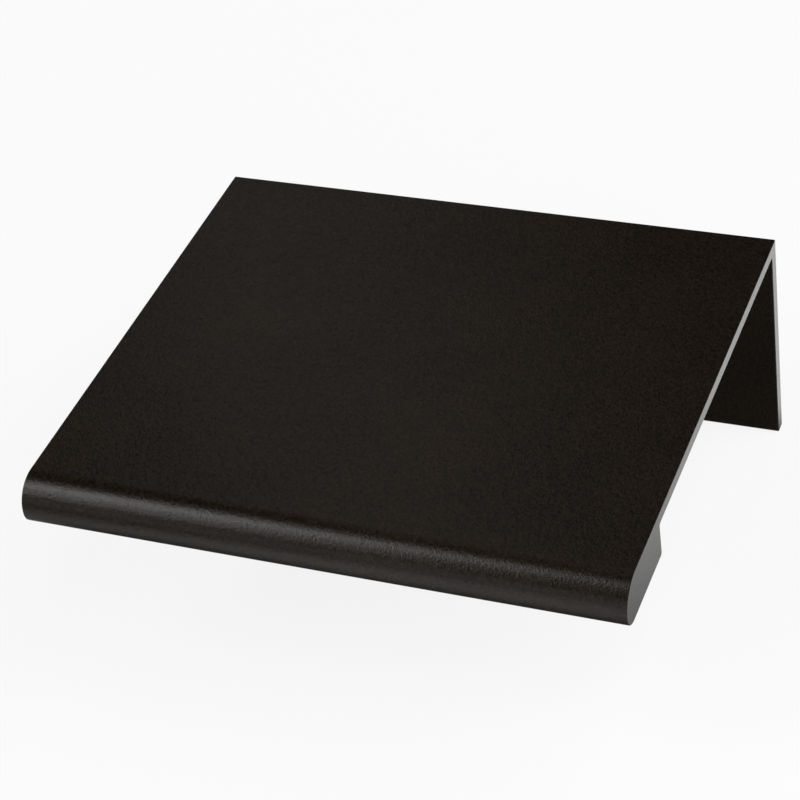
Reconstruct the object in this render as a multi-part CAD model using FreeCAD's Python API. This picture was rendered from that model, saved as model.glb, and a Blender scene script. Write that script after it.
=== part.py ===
import FreeCAD, Part
import math
import os

# Tab pull for the top edge of a drawer front or a door
# One length of aluminium section, cut square at both ends and coated all over.
# A thin plate lies over the drawer front, a flange behind it takes two screws,
# and a thick rounded nose along the front edge is caught from below by the fingers.
# Sizes are in millimetres. +X runs along the pull, -Y points out of the drawer, +Z is up.
# The origin is midway between the screw holes, on the flange face that seats on the drawer front.

# Overall sizes
pull_length = 50.8
pull_depth = 44.0
flange_height = 20.7

# Walls
plate_thickness = 1.1
flange_thickness = 1.2

# Nose along the front edge
nose_height = 4.15
nose_depth = 8.8
nose_top_radius = 2.6
nose_bottom_radius = 1.5
nose_heel_radius = 0.3

# Small rounds of the section and of the cut ends
rear_corner_radius = 0.1
inside_corner_radius = 0.2
foot_corner_radius = 0.2
end_edge_radius = 0.08

# Screw holes through the flange, countersunk from behind
screw_hole_count = 2
hole_spacing = 32.0
hole_drop = 10.0
hole_diameter = 4.0
countersink_diameter = 5.4
countersink_angle = 90.0

# Shares and allowances
wall_share = 0.45
cut_allowance = 0.5

# Levels and distances of the section, seen along +X
plate_underside_z = hole_drop
plate_top_z = plate_underside_z + plate_thickness
flange_foot_z = plate_top_z - flange_height
nose_bottom_z = plate_top_z - nose_height
flange_front_y = 0.0
flange_rear_y = flange_front_y + flange_thickness
nose_front_y = flange_rear_y - pull_depth
nose_back_y = nose_front_y + nose_depth


def limited(radius, wall):
    """A radius no larger than its share of the wall it rounds."""
    return min(radius, wall_share * wall)


def section_corners():
    """The corners of the section in order, each with the radius that rounds it."""
    rear = limited(rear_corner_radius, min(plate_thickness, flange_thickness))
    foot = limited(foot_corner_radius, flange_thickness)
    heel = limited(nose_heel_radius, nose_height - plate_thickness)
    inside = limited(inside_corner_radius, nose_height - plate_thickness)
    front_bottom = limited(nose_bottom_radius, nose_height)
    front_top = min(nose_top_radius, nose_height - front_bottom)
    return [
        (flange_rear_y, plate_top_z, rear),
        (flange_rear_y, flange_foot_z, foot),
        (flange_front_y, flange_foot_z, foot),
        (flange_front_y, plate_underside_z, inside),
        (nose_back_y, plate_underside_z, inside),
        (nose_back_y, nose_bottom_z, heel),
        (nose_front_y, nose_bottom_z, front_bottom),
        (nose_front_y, plate_top_z, front_top),
    ]


def rounded_corner(before, corner, after, radius):
    """The start, middle and end points of the arc that rounds one corner of the section."""
    to_before = (before - corner).normalize()
    to_after = (after - corner).normalize()
    half_angle = to_before.getAngle(to_after) / 2
    run = radius / math.tan(half_angle)
    bisector = (to_before + to_after).normalize()
    middle_reach = radius / math.sin(half_angle) - radius
    return corner + to_before * run, corner + bisector * middle_reach, corner + to_after * run


def section_face(x):
    """The closed section as a face, standing across the pull at x."""
    corners = section_corners()
    points = [FreeCAD.Vector(x, y, z) for y, z, _ in corners]
    arcs = []
    for i, (_, _, radius) in enumerate(corners):
        after = points[(i + 1) % len(points)]
        arcs.append(rounded_corner(points[i - 1], points[i], after, radius))
    edges = []
    for i, (start, middle, end) in enumerate(arcs):
        edges.append(Part.Arc(start, middle, end).toShape())
        next_start = arcs[(i + 1) % len(arcs)][0]
        if end.distanceToPoint(next_start) > Part.Precision.confusion():
            edges.append(Part.LineSegment(end, next_start).toShape())
    return Part.Face(Part.Wire(edges))


def cut_length():
    """The section at the pull's length, before its ends are eased and its holes are made."""
    return section_face(-pull_length / 2).extrude(FreeCAD.Vector(pull_length, 0, 0))


def ease_ends(body):
    """Round the sharp edges that the saw leaves round both cut ends."""
    end_edges = []
    for edge in body.Edges:
        box = edge.BoundBox
        lies_across = box.XLength < Part.Precision.confusion()
        if lies_across and abs(abs(box.Center.x) - pull_length / 2) < Part.Precision.confusion():
            end_edges.append(edge)
    thinnest = min(plate_thickness, flange_thickness)
    return body.makeFillet(limited(end_edge_radius, thinnest / 2), end_edges)


def screw_hole(x):
    """One through hole with its countersink, as the solid that is cut away."""
    inwards = FreeCAD.Vector(0, -1, 0)
    mouth = FreeCAD.Vector(x, flange_rear_y, 0)
    behind = mouth - inwards * cut_allowance
    slope = math.tan(math.radians(countersink_angle / 2))
    mouth_radius = countersink_diameter / 2
    hole_radius = hole_diameter / 2
    sink_depth = (mouth_radius - hole_radius) / slope
    drill_length = flange_thickness + 2 * cut_allowance
    drill = Part.makeCylinder(hole_radius, drill_length, behind, inwards)
    sink_outer = mouth_radius + cut_allowance * slope
    sink = Part.makeCone(sink_outer, hole_radius, cut_allowance + sink_depth, behind, inwards)
    return drill.fuse(sink)


def tab_pull():
    """The whole pull as one solid."""
    body = ease_ends(cut_length())
    first_x = -hole_spacing * (screw_hole_count - 1) / 2
    for i in range(screw_hole_count):
        body = body.cut(screw_hole(first_x + i * hole_spacing))
    return body.Solids[0]


pull = tab_pull()
os.makedirs("parts", exist_ok=True)
pull.exportStep("parts/tab_pull.step")

box = pull.optimalBoundingBox(False, False)
print("size", round(box.XLength, 3), round(box.YLength, 3), round(box.ZLength, 3))
print("volume", round(pull.Volume, 2), "faces", len(pull.Faces), "valid", pull.isValid())
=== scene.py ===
"""The tab pull as it looks: one coated length of aluminium section in soft studio light."""

import logging
import math
from dataclasses import dataclass
from enum import Enum
from typing import Callable

import bmesh
import bpy
from mathutils import Euler, Matrix, Vector


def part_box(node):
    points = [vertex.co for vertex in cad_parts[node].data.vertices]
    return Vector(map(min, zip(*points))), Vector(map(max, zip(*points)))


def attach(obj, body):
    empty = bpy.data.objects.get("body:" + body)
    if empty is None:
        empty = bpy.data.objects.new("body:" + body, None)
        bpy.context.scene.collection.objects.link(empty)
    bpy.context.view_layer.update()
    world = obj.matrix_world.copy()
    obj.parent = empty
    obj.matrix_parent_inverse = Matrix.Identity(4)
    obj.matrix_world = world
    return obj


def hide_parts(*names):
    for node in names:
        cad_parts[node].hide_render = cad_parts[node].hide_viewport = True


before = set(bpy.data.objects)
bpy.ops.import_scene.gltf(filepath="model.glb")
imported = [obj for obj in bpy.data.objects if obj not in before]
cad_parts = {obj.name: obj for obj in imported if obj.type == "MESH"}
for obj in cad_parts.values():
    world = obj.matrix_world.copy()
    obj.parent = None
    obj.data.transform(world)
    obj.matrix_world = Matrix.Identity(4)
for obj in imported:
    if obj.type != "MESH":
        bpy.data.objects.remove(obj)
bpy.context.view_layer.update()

MM = 0.001
NEAR = 1e-6
FLAT = 0.999
FLAT_ANGLE = math.radians(1)

log = logging.getLogger("tab_pull")

Point = tuple[float, float, float]
Colour = tuple[float, float, float]
Span = tuple[float, float]
Output = bpy.types.NodeSocket


class Corner(Enum):
    """The eight long corners of the section."""

    NOSE_TOP = "nose top"
    NOSE_BOTTOM = "nose bottom"
    NOSE_HEEL = "nose heel"
    NOSE_INSIDE = "inside the nose"
    FLANGE_INSIDE = "inside the flange"
    REAR = "rear"
    FOOT_REAR = "flange foot, rear"
    FOOT_FRONT = "flange foot, front"


@dataclass(frozen=True)
class Round:
    """The round of one long corner: where the corner is, its radius and its steps."""

    y: float
    z: float
    radius: float
    steps: int

    def holds(self, a: Vector, b: Vector) -> bool:
        """Whether the edge from a to b runs along this corner."""
        return all(abs(v.y - self.y) < NEAR and abs(v.z - self.z) < NEAR for v in (a, b))


def deselect_all() -> None:
    """Leave every object unselected, in object mode."""
    if bpy.context.object and bpy.context.object.mode != "OBJECT":
        bpy.ops.object.mode_set(mode="OBJECT")
    bpy.ops.object.select_all(action="DESELECT")


def make_active(piece: bpy.types.Object) -> None:
    """Make one piece the only selected one.

    Args:
        piece: The piece that the next operators act on.
    """
    deselect_all()
    piece.select_set(True)
    bpy.context.view_layer.objects.active = piece


def select_edges(piece: bpy.types.Object, wanted: Callable[[Vector, Vector], bool]) -> int:
    """Select the edges of a piece in edit mode by where their ends are.

    Args:
        piece: The piece that is in edit mode.
        wanted: Says from an edge's two ends whether it is selected.

    Returns:
        The number of edges that are selected.
    """
    bpy.ops.mesh.select_mode(type="EDGE")
    bpy.ops.mesh.select_all(action="DESELECT")
    cage = bmesh.from_edit_mesh(piece.data)
    found = [e for e in cage.edges if wanted(e.verts[0].co, e.verts[1].co)]
    for edge in found:
        edge.select_set(True)
    bmesh.update_edit_mesh(piece.data)
    return len(found)


def select_faces(piece: bpy.types.Object, wanted: Callable[[Vector, Vector], bool]) -> int:
    """Select the faces of a piece in edit mode by their place and normal.

    Args:
        piece: The piece that is in edit mode.
        wanted: Says from a face's middle and its normal whether it is selected.

    Returns:
        The number of faces that are selected.
    """
    bpy.ops.mesh.select_mode(type="FACE")
    bpy.ops.mesh.select_all(action="DESELECT")
    cage = bmesh.from_edit_mesh(piece.data)
    found = [f for f in cage.faces if wanted(f.calc_center_median(), f.normal)]
    for face in found:
        face.select_set(True)
    bmesh.update_edit_mesh(piece.data)
    return len(found)


@dataclass
class TabPull:
    """One length of section with its eased ends and its two countersunk screw holes."""

    plate_thickness: float = 1.1 * MM
    flange_thickness: float = 1.2 * MM
    nose_height: float = 4.15 * MM
    nose_depth: float = 8.8 * MM
    nose_top_radius: float = 2.6 * MM
    nose_bottom_radius: float = 1.5 * MM
    nose_heel_radius: float = 0.3 * MM
    rear_corner_radius: float = 0.1 * MM
    inside_corner_radius: float = 0.2 * MM
    foot_corner_radius: float = 0.2 * MM
    end_edge_radius: float = 0.08 * MM
    nose_top_steps: int = 28
    nose_bottom_steps: int = 20
    small_round_steps: int = 8
    end_edge_steps: int = 4
    hole_spacing: float = 32.0 * MM
    hole_diameter: float = 4.0 * MM
    countersink_diameter: float = 5.4 * MM
    hole_steps: int = 96
    cut_allowance: float = 0.4 * MM
    smooth_angle: float = math.radians(30)
    flat_weight: int = 100

    def __post_init__(self) -> None:
        """Take the outer sizes and the place from the solid that this piece stands for."""
        self.low, self.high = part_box("tab_pull")

    @property
    def nose_back(self) -> float:
        """The Y of the step behind the nose."""
        return self.low.y + self.nose_depth

    @property
    def flange_front(self) -> float:
        """The Y of the flange's front face."""
        return self.high.y - self.flange_thickness

    @property
    def plate_underside(self) -> float:
        """The Z of the plate's underside."""
        return self.high.z - self.plate_thickness

    @property
    def nose_bottom(self) -> float:
        """The Z of the nose's flat underside."""
        return self.high.z - self.nose_height

    def rounds(self) -> dict[Corner, Round]:
        """The rounds of the section's corners.

        Returns:
            Each corner with its round.
        """
        low, high, few = self.low, self.high, self.small_round_steps
        inside, foot = self.inside_corner_radius, self.foot_corner_radius
        back, under, front = self.nose_back, self.plate_underside, self.flange_front
        top_steps, bottom_steps = self.nose_top_steps, self.nose_bottom_steps
        return {
            Corner.NOSE_TOP: Round(low.y, high.z, self.nose_top_radius, top_steps),
            Corner.NOSE_BOTTOM: Round(
                low.y, self.nose_bottom, self.nose_bottom_radius, bottom_steps
            ),
            Corner.NOSE_HEEL: Round(back, self.nose_bottom, self.nose_heel_radius, few),
            Corner.NOSE_INSIDE: Round(back, under, inside, few),
            Corner.FLANGE_INSIDE: Round(front, under, inside, few),
            Corner.REAR: Round(high.y, high.z, self.rear_corner_radius, few),
            Corner.FOOT_REAR: Round(high.y, low.z, foot, few),
            Corner.FOOT_FRONT: Round(front, low.z, foot, few),
        }

    def build(self) -> bpy.types.Object:
        """Model the whole pull.

        Returns:
            The finished piece, with its place in its mesh.
        """
        pull = self.flat_plate()
        self.drop_nose_and_flange(pull)
        self.round_long_corners(pull)
        self.ease_ends(pull)
        self.drill_holes(pull)
        self.smooth(pull)
        return pull

    def flat_plate(self) -> bpy.types.Object:
        """Start from the thin plate at its place, short by what easing its ends adds.

        Returns:
            The plate as an object.
        """
        low, high = self.low, self.high
        middle = ((low.x + high.x) / 2, (low.y + high.y) / 2, high.z - self.plate_thickness / 2)
        uneased = high.x - low.x - 2 * self.end_edge_radius
        sizes = (uneased, high.y - low.y, self.plate_thickness)
        deselect_all()
        bpy.ops.mesh.primitive_cube_add(size=1, location=middle, scale=sizes)
        plate = bpy.context.object
        plate.name = plate.data.name = "coated_pull"
        bpy.ops.object.transform_apply(location=True, rotation=True, scale=True)
        return plate

    def drop_nose_and_flange(self, pull: bpy.types.Object) -> None:
        """Cut the plate across behind the nose and before the flange, and draw both down.

        Args:
            pull: The flat plate.
        """
        make_active(pull)
        bpy.ops.object.mode_set(mode="EDIT")
        for y in (self.nose_back, self.flange_front):
            bpy.ops.mesh.select_all(action="SELECT")
            bpy.ops.mesh.bisect(plane_co=(0, y, 0), plane_no=(0, 1, 0))
        nose_drop = self.nose_height - self.plate_thickness
        flange_drop = self.high.z - self.low.z - self.plate_thickness
        select_faces(pull, lambda c, n: n.z < -FLAT and c.y < self.nose_back)
        bpy.ops.mesh.extrude_region_move(TRANSFORM_OT_translate={"value": (0, 0, -nose_drop)})
        select_faces(pull, lambda c, n: n.z < -FLAT and c.y > self.flange_front)
        bpy.ops.mesh.extrude_region_move(TRANSFORM_OT_translate={"value": (0, 0, -flange_drop)})
        bpy.ops.mesh.select_all(action="SELECT")
        bpy.ops.mesh.dissolve_limited(angle_limit=FLAT_ANGLE)
        bpy.ops.object.mode_set(mode="OBJECT")

    def round_long_corners(self, pull: bpy.types.Object) -> None:
        """Round the section's eight long corners.

        Args:
            pull: The pull with square corners.
        """
        make_active(pull)
        bpy.ops.object.mode_set(mode="EDIT")
        for corner, arc in self.rounds().items():
            found = select_edges(pull, arc.holds)
            bpy.ops.mesh.bevel(
                offset=arc.radius, segments=arc.steps, profile=0.5, affect="EDGES"
            )
            log.info("%s: %d edge, radius %.2f mm", corner.value, found, arc.radius / MM)
        bpy.ops.object.mode_set(mode="OBJECT")

    def ease_ends(self, pull: bpy.types.Object) -> None:
        """Draw both cut ends out to the full length in steps that round their edge.

        Args:
            pull: The pull with its long corners rounded.
        """
        make_active(pull)
        bpy.ops.object.mode_set(mode="EDIT")
        turns = [math.radians(90) * i / self.end_edge_steps for i in range(self.end_edge_steps + 1)]
        for start, stop in zip(turns, turns[1:]):
            inwards = self.end_edge_radius * (math.cos(start) - math.cos(stop))
            outwards = self.end_edge_radius * (math.sin(stop) - math.sin(start))
            for side in (-1, 1):
                select_faces(pull, lambda c, n: n.x * side > FLAT)
                bpy.ops.mesh.inset(thickness=inwards, depth=outwards, use_even_offset=True)
        bpy.ops.object.mode_set(mode="OBJECT")
        log.info("ends: eased by %.2f mm", self.end_edge_radius / MM)

    def countersunk_drill(self) -> bpy.types.Object:
        """The shape that one screw hole takes out, at the left hole.

        Returns:
            The drill and countersink as one closed object.
        """
        hole_radius = self.hole_diameter / 2
        sink_depth = (self.countersink_diameter - self.hole_diameter) / 2
        shank_end = self.high.y - sink_depth
        shank_start = self.flange_front - self.cut_allowance
        x = -self.hole_spacing / 2
        deselect_all()
        bpy.ops.mesh.primitive_cylinder_add(
            vertices=self.hole_steps,
            radius=hole_radius,
            depth=shank_end - shank_start,
            location=(x, (shank_start + shank_end) / 2, 0),
            rotation=(math.radians(90), 0, 0),
        )
        drill = bpy.context.object
        drill.name = "drill"
        bpy.ops.object.transform_apply(location=True, rotation=True, scale=True)
        bpy.ops.object.mode_set(mode="EDIT")
        select_faces(drill, lambda c, n: n.y > FLAT)
        run = sink_depth + self.cut_allowance
        bpy.ops.mesh.extrude_region_move(TRANSFORM_OT_translate={"value": (0, run, 0)})
        spread = (hole_radius + run) / hole_radius
        bpy.ops.transform.resize(
            value=(spread, 1, spread), center_override=(x, shank_end + run, 0)
        )
        bpy.ops.object.mode_set(mode="OBJECT")
        return drill

    def drill_holes(self, pull: bpy.types.Object) -> None:
        """Cut the two screw holes through the flange.

        Args:
            pull: The pull without its holes.
        """
        left = self.countersunk_drill()
        make_active(left)
        bpy.ops.object.duplicate()
        right = bpy.context.object
        right.location.x = self.hole_spacing
        bpy.ops.object.transform_apply(location=True, rotation=True, scale=True)
        for drill in (left, right):
            make_active(pull)
            cut = pull.modifiers.new("screw_hole", "BOOLEAN")
            cut.operation = "DIFFERENCE"
            cut.solver = "EXACT"
            cut.object = drill
            bpy.ops.object.modifier_apply(modifier=cut.name)
        for drill in (left, right):
            mesh = drill.data
            bpy.data.objects.remove(drill)
            bpy.data.meshes.remove(mesh)

    def smooth(self, pull: bpy.types.Object) -> None:
        """Shade the rounds smooth and keep the flats flat.

        Args:
            pull: The pull with all its shapes.
        """
        make_active(pull)
        bpy.ops.object.shade_smooth_by_angle(angle=self.smooth_angle)
        flats = pull.modifiers.new("flats", "WEIGHTED_NORMAL")
        flats.keep_sharp = True
        flats.weight = self.flat_weight
        bpy.ops.object.modifier_apply(modifier=flats.name)


@dataclass(frozen=True)
class Shading:
    """A node tree with short ways to add the nodes that the finishes use."""

    tree: bpy.types.NodeTree

    def add(self, kind: str, **settings: object) -> bpy.types.Node:
        """Add a node.

        Args:
            kind: The node's type.
            settings: Its own settings by name.

        Returns:
            The new node.
        """
        node = self.tree.nodes.new(kind)
        for name, setting in settings.items():
            setattr(node, name, setting)
        return node

    def feed(self, node: bpy.types.Node, given: dict[str | int, object]) -> None:
        """Give a node its inputs.

        Args:
            node: The node.
            given: For an input's name or number, the output to link or the value to set.
        """
        for key, value in given.items():
            if isinstance(value, Output):
                self.tree.links.new(value, node.inputs[key])
            else:
                node.inputs[key].default_value = value

    def calc(self, operation: str, *values: object) -> Output:
        """Add a sum.

        Args:
            operation: What it does.
            values: The outputs and numbers that it does this with.

        Returns:
            The result.
        """
        node = self.add("ShaderNodeMath", operation=operation)
        self.feed(node, dict(enumerate(values)))
        return node.outputs[0]

    def length(self, across: Output, along: Output) -> Output:
        """The straight distance that a step across and a step along make."""
        squares = (self.calc("MULTIPLY", step, step) for step in (across, along))
        return self.calc("SQRT", self.calc("ADD", *squares))

    def ramp(self, value: Output, span: Span, ends: Span) -> Output:
        """Add a smooth change.

        Args:
            value: What it follows.
            span: Where the value is when the change starts and stops.
            ends: The result at the start and at the stop.

        Returns:
            The result.
        """
        node = self.add("ShaderNodeMapRange", interpolation_type="SMOOTHSTEP")
        self.feed(node, {"Value": value, "From Min": span[0], "From Max": span[1]})
        self.feed(node, {"To Min": ends[0], "To Max": ends[1]})
        return node.outputs[0]

    def mix(self, share: Output, first: Output, second: Output) -> Output:
        """Two shaders mixed, with the second one's share."""
        node = self.add("ShaderNodeMixShader")
        self.feed(node, {0: share, 1: first, 2: second})
        return node.outputs[0]

    def seen_directly(self) -> Output:
        """1 for what the camera sees, also through glass, and 0 for all else."""
        path = self.add("ShaderNodeLightPath").outputs
        return self.calc("MAXIMUM", path["Is Camera Ray"], path["Is Transmission Ray"])


def coat_grain_group() -> bpy.types.NodeTree:
    """The fine grain of a matt coating, for any coated surface.

    Returns:
        A node group that gives the coat's colour, roughness and height over the surface.
    """
    group = bpy.data.node_groups.new("coat_grain", "ShaderNodeTree")
    for name, way, kind in (
        ("Colour", "INPUT", "NodeSocketColor"),
        ("Colour Spread", "INPUT", "NodeSocketFloat"),
        ("Roughness", "INPUT", "NodeSocketFloat"),
        ("Roughness Spread", "INPUT", "NodeSocketFloat"),
        ("Grain Density", "INPUT", "NodeSocketFloat"),
        ("Colour", "OUTPUT", "NodeSocketColor"),
        ("Roughness", "OUTPUT", "NodeSocketFloat"),
        ("Height", "OUTPUT", "NodeSocketFloat"),
    ):
        group.interface.new_socket(name, in_out=way, socket_type=kind)
    grain_detail, grain_roughness = 2.5, 0.6
    flecks_per_grain, fleck_height = 1.7, -0.5
    drift_density, drift_detail, drift_share = 90.0, 2.0, 0.25
    middle_tone = (1.0 + drift_share) / 2

    shading = Shading(group)
    given = shading.add("NodeGroupInput").outputs
    place = shading.add("ShaderNodeTexCoord").outputs["Object"]
    density = given["Grain Density"]
    grain = shading.add("ShaderNodeTexNoise")
    shading.feed(grain, {"Vector": place, "Scale": density})
    shading.feed(grain, {"Detail": grain_detail, "Roughness": grain_roughness})
    flecks = shading.add("ShaderNodeTexVoronoi", feature="F1")
    fleck_density = shading.calc("MULTIPLY", density, flecks_per_grain)
    shading.feed(flecks, {"Vector": place, "Scale": fleck_density})
    drift = shading.add("ShaderNodeTexNoise")
    shading.feed(drift, {"Vector": place, "Scale": drift_density, "Detail": drift_detail})

    grain_tone = grain.outputs["Fac"]
    tone = shading.calc("MULTIPLY_ADD", drift.outputs["Fac"], drift_share, grain_tone)
    centred = shading.calc("SUBTRACT", tone, middle_tone)
    brightness = shading.calc("MULTIPLY_ADD", centred, given["Colour Spread"], 1.0)
    colour = shading.add("ShaderNodeVectorMath", operation="SCALE")
    shading.feed(colour, {0: given["Colour"], "Scale": brightness})
    rough = shading.calc("MULTIPLY_ADD", centred, given["Roughness Spread"], given["Roughness"])
    height = shading.calc("MULTIPLY_ADD", flecks.outputs["Distance"], fleck_height, grain_tone)
    made = shading.add("NodeGroupOutput")
    shading.feed(made, {"Colour": colour.outputs[0], "Roughness": rough, "Height": height})
    return group


@dataclass(frozen=True)
class BlackCoat:
    """The satin black coating: a warm black with a fine grain under a thin clear film."""

    colour: Colour = (0.0090, 0.0058, 0.0034)
    colour_spread: float = 3.8
    roughness: float = 0.25
    roughness_spread: float = 0.12
    grain_density: float = 4200.0
    grain_height: float = 0.048 * MM
    grain_strength: float = 0.4
    ior: float = 1.25
    film_weight: float = 1.0
    film_roughness: float = 0.24
    film_ior: float = 1.25

    def material(self) -> bpy.types.Material:
        """Make the coating.

        Returns:
            The material for every coated surface.
        """
        coat = bpy.data.materials.new("black_coat")
        coat.use_nodes = True
        shading = Shading(coat.node_tree)
        grain = shading.add("ShaderNodeGroup", node_tree=coat_grain_group())
        shading.feed(grain, {"Colour": (*self.colour, 1), "Colour Spread": self.colour_spread})
        shading.feed(grain, {"Roughness": self.roughness, "Roughness Spread": self.roughness_spread})
        shading.feed(grain, {"Grain Density": self.grain_density})
        bump = shading.add("ShaderNodeBump")
        shading.feed(bump, {"Strength": self.grain_strength, "Distance": self.grain_height})
        shading.feed(bump, {"Height": grain.outputs["Height"]})
        relief = bump.outputs["Normal"]
        shader = coat.node_tree.nodes["Principled BSDF"]
        shading.feed(shader, {"Base Color": grain.outputs["Colour"], "IOR": self.ior})
        shading.feed(shader, {"Roughness": grain.outputs["Roughness"], "Normal": relief})
        shading.feed(shader, {"Coat Weight": self.film_weight, "Coat IOR": self.film_ior})
        shading.feed(shader, {"Coat Roughness": self.film_roughness, "Coat Normal": relief})
        return coat


@dataclass(frozen=True)
class PaintedShadowPatch:
    """A painted shadow on the floor that only the pull's gloss shows: a soft dark box that fades
    out.
    """

    half_width: float
    front: float
    rear: float
    side_fade: float
    front_fade: float
    rear_fade: float

    def outside(self, shading: Shading, x: Output, y: Output) -> Output:
        """How far a place is out of the patch.

        Args:
            shading: The floor's nodes.
            x: The place's X.
            y: The place's Y.

        Returns:
            0 in the patch, and up to 1 where it has faded.
        """
        calc = shading.calc
        aside = calc("MAXIMUM", calc("SUBTRACT", calc("ABSOLUTE", x), self.half_width), 0.0)
        before = calc("MAXIMUM", calc("SUBTRACT", self.front, y), 0.0)
        behind = calc("MAXIMUM", calc("SUBTRACT", y, self.rear), 0.0)
        across = calc("DIVIDE", aside, self.side_fade)
        ahead = calc("DIVIDE", before, self.front_fade)
        back = calc("DIVIDE", behind, self.rear_fade)
        reach = shading.length(across, calc("ADD", ahead, back))
        return shading.ramp(reach, (0.0, 1.0), (0.0, 1.0))


@dataclass(frozen=True)
class PaleFloor:
    """The plain floor under the pull, white to the camera but for the pull's light shadow.

    The pull's gloss shows it white too, with a painted shadow by the pull and painted shade towards
    the left.
    """

    width: float = 6.0
    colour: Colour = (0.9, 0.9, 0.9)
    white_share: float = 0.85
    shadow_fades: Span = (70 * MM, 350 * MM)
    # Painted shadow: how bright the floor's glow in gloss stays in the middle of the patches.
    painted_shadow_depth: float = 0.065
    # Painted shadow: the floor's glow in gloss goes dark under the pull, where the flange mirrors
    # it.
    painted_shadow_under_pull: PaintedShadowPatch = PaintedShadowPatch(
        half_width=24 * MM,
        front=-41 * MM,
        rear=-1 * MM,
        side_fade=6 * MM,
        front_fade=6 * MM,
        rear_fade=6 * MM,
    )
    # Painted shadow: the floor's glow in gloss goes dark round the nose's front edge, which the
    # nose's front and ends mirror.
    painted_shadow_by_nose: PaintedShadowPatch = PaintedShadowPatch(
        half_width=28 * MM,
        front=-42 * MM,
        rear=-42 * MM,
        side_fade=20 * MM,
        front_fade=30 * MM,
        rear_fade=50 * MM,
    )
    # Painted shade: the floor's glow in gloss is dimmer towards the left.
    painted_shade_left_strength: float = 0.2
    painted_shade_left_span: Span = (-73 * MM, -13 * MM)

    def build(self) -> bpy.types.Object:
        """Lay the floor under the flange's foot.

        Returns:
            The floor.
        """
        deselect_all()
        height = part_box("tab_pull")[0].z
        bpy.ops.mesh.primitive_plane_add(size=self.width, location=(0, 0, height))
        floor = bpy.context.object
        floor.name = "floor"
        bpy.ops.object.transform_apply(location=True, rotation=True, scale=True)
        floor.data.materials.append(self.material())
        return floor

    def in_gloss(self, shading: Shading, x: Output, y: Output) -> Output:
        """How white the pull's gloss shows a place on the floor, with the painted shadow by the pull
        and the painted shade towards the left.

        Args:
            shading: The floor's nodes.
            x: The place's X.
            y: The place's Y.

        Returns:
            The strength, where 1 is white.
        """
        calc = shading.calc
        # Painted shadow: the glow is lowest in the patches by the pull.
        patches = (patch.outside(shading, x, y) for patch in (self.painted_shadow_under_pull, self.painted_shadow_by_nose))
        outside_painted_shadow = calc("MULTIPLY", *patches)
        # Painted shade: the glow is lower towards the left.
        side = shading.ramp(x, self.painted_shade_left_span, (self.painted_shade_left_strength, 1.0))
        above_darkest = calc("MULTIPLY", calc("SUBTRACT", side, self.painted_shadow_depth), outside_painted_shadow)
        return calc("ADD", above_darkest, self.painted_shadow_depth)

    def material(self) -> bpy.types.Material:
        """Make the floor's finish.

        Returns:
            A matt pale paint, white to the camera, white in gloss but for its painted shadow and
            shade, and clear from below.
        """
        paint = bpy.data.materials.new("pale_floor")
        paint.use_nodes = True
        nodes = paint.node_tree.nodes
        nodes.remove(nodes["Principled BSDF"])
        shading = Shading(paint.node_tree)
        calc = shading.calc
        parts = shading.add("ShaderNodeSeparateXYZ")
        shading.feed(parts, {0: shading.add("ShaderNodeTexCoord").outputs["Object"]})
        x, y = parts.outputs["X"], parts.outputs["Y"]

        whiteness = shading.ramp(shading.length(x, y), self.shadow_fades, (self.white_share, 1.0))
        glossy = shading.add("ShaderNodeLightPath").outputs["Is Glossy Ray"]
        white_share = calc("MAXIMUM", calc("MULTIPLY", shading.seen_directly(), whiteness), glossy)
        # Painted shadow and shade: glossy rays see the floor's white glow lowered by the pattern
        # from in_gloss.
        painted_shade_dimming = calc("MULTIPLY", glossy, calc("SUBTRACT", 1.0, self.in_gloss(shading, x, y)))

        matt = shading.add("ShaderNodeBsdfDiffuse")
        shading.feed(matt, {"Color": (*self.colour, 1)})
        white = shading.add("ShaderNodeEmission")
        shading.feed(white, {"Strength": calc("SUBTRACT", 1.0, painted_shade_dimming)})
        top = shading.mix(white_share, matt.outputs[0], white.outputs[0])
        from_below = shading.add("ShaderNodeNewGeometry").outputs["Backfacing"]
        clear = shading.add("ShaderNodeBsdfTransparent").outputs[0]
        shading.feed(nodes["Material Output"], {"Surface": shading.mix(from_below, top, clear)})
        return paint


@dataclass(frozen=True)
class Softbox:
    """One soft rectangular lamp that points at the pull, rolled from in line with it.

    Its angles are from straight above, to the right and the front. Without gloss it gives
    plain light alone, and no surface mirrors it.
    """

    name: str
    side_angle: float
    front_angle: float
    distance: float
    width: float
    height: float
    radiance: float
    roll: float = 0.0
    in_gloss: bool = True
    aim: Point = (0.0, -0.02, 0.0)

    def build(self) -> bpy.types.Object:
        """Hang the lamp.

        Returns:
            The lamp.
        """
        lamp = bpy.data.lights.new(self.name, "AREA")
        lamp.shape = "RECTANGLE"
        lamp.size = self.width
        lamp.size_y = self.height
        lamp.energy = math.pi * self.width * self.height * self.radiance
        holder = bpy.data.objects.new(self.name, lamp)
        bpy.context.scene.collection.objects.link(holder)
        side, front = math.radians(self.side_angle), math.radians(self.front_angle)
        across = math.cos(side)
        out = Vector((math.sin(side), -math.sin(front) * across, math.cos(front) * across))
        along = (Vector((1, 0, 0)) - out * out.x).normalized()
        turn = Matrix((along, out.cross(along), out)).transposed().to_quaternion()
        rolled = Euler((0, 0, math.radians(self.roll))).to_quaternion()
        holder.location = Vector(self.aim) + out * self.distance
        holder.rotation_mode = "QUATERNION"
        holder.rotation_quaternion = turn @ rolled
        holder.visible_camera = False
        holder.visible_glossy = self.in_gloss
        return holder


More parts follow.
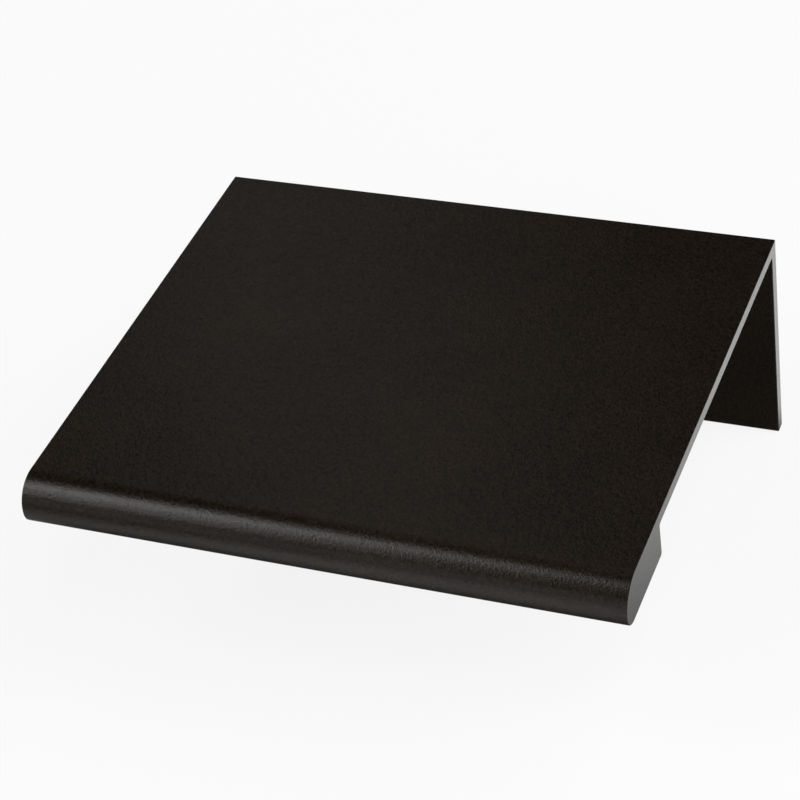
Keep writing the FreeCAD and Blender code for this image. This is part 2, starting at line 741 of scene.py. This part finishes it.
@dataclass(frozen=True)
class Studio:
    """The lamps, and the dim room round the set: pale low down and dim overhead."""

    softboxes: tuple[Softbox, ...] = (
        Softbox(
            "left_softbox",
            side_angle=-26.2,
            front_angle=22.2,
            distance=0.7,
            width=0.326,
            height=0.262,
            radiance=2.68,
            roll=25.0,
        ),
        Softbox(
            "low_softbox",
            side_angle=-30.0,
            front_angle=38.6,
            distance=0.7,
            width=0.15,
            height=0.44,
            radiance=3.9,
        ),
        Softbox(
            "back_softbox",
            side_angle=-14.8,
            front_angle=-30.1,
            distance=0.8,
            width=0.846,
            height=0.183,
            radiance=0.327,
            roll=-60.0,
        ),
        Softbox(
            "main_softbox",
            side_angle=50.0,
            front_angle=15.0,
            distance=0.8,
            width=1.2,
            height=1.6,
            radiance=2.04,
            in_gloss=False,
        ),
    )
    low_strength: float = 0.67
    overhead_strength: float = 0.02
    pale_up_to: float = 4.2
    dim_from: float = 6.2
    up: Point = (-0.076, 0.335, 1.0)

    def build(self) -> None:
        """Hang the lamps and set the world."""
        for softbox in self.softboxes:
            softbox.build()
        self.set_world()

    def set_world(self) -> None:
        """Set the world, which is white to the camera and the dim room to all else."""
        world = bpy.data.worlds.new("studio")
        bpy.context.scene.world = world
        world.use_nodes = True
        shading = Shading(world.node_tree)
        direction = shading.add("ShaderNodeTexCoord").outputs["Generated"]
        height = shading.add("ShaderNodeVectorMath", operation="DOT_PRODUCT")
        shading.feed(height, {0: direction, 1: self.up})
        fade = tuple(math.sin(math.radians(angle)) for angle in (self.pale_up_to, self.dim_from))
        strengths = (self.low_strength, self.overhead_strength)
        room = shading.ramp(height.outputs["Value"], fade, strengths)
        strength = shading.calc("MAXIMUM", room, shading.seen_directly())
        background = world.node_tree.nodes["Background"]
        shading.feed(background, {"Color": (1, 1, 1, 1), "Strength": strength})


@dataclass(frozen=True)
class PhotoCamera:
    """The camera where the photograph was taken from: near right, looking down."""

    position: Point = (0.07133, -0.16448, 0.13861)
    azimuth: float = 26.801
    elevation: float = 39.352
    roll: float = -9.337
    lens: float = 111.78
    sensor: float = 36.0
    nearest: float = 5 * MM

    def build(self) -> bpy.types.Object:
        """Set up the camera.

        Returns:
            The camera, made the scene's own.
        """
        data = bpy.data.cameras.new("camera")
        data.sensor_width = self.sensor
        data.lens = self.lens
        data.clip_start = self.nearest
        camera = bpy.data.objects.new("camera", data)
        bpy.context.scene.collection.objects.link(camera)
        turn, down = math.radians(self.azimuth), math.radians(self.elevation)
        flat = math.cos(down)
        ahead = Vector((-math.sin(turn) * flat, math.cos(turn) * flat, -math.sin(down)))
        level = ahead.to_track_quat("-Z", "Y")
        tilt = Euler((0, 0, math.radians(self.roll))).to_quaternion()
        camera.location = self.position
        camera.rotation_mode = "QUATERNION"
        camera.rotation_quaternion = level @ tilt
        bpy.context.scene.camera = camera
        return camera


def report(piece: bpy.types.Object) -> None:
    """Log what a finished piece measures.

    Args:
        piece: The finished piece.
    """
    solid = bmesh.new()
    solid.from_mesh(piece.data)
    open_edges = sum(1 for e in solid.edges if not e.is_manifold)
    volume = solid.calc_volume() / MM**3
    log.info(
        "%s: %d faces, %.1f mm3, %d open edges", piece.name, len(solid.faces), volume, open_edges
    )
    solid.free()


def main() -> None:
    """Build the pull, dress it, and set the studio round it."""
    logging.basicConfig(level=logging.INFO, format="%(name)s: %(message)s")
    bpy.context.scene.view_settings.view_transform = "Standard"

    pull = TabPull().build()
    pull.data.materials.append(BlackCoat().material())
    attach(pull, "root")
    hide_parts("tab_pull")
    report(pull)

    PaleFloor().build()
    Studio().build()
    PhotoCamera().build()


if __name__ == "__main__":
    main()
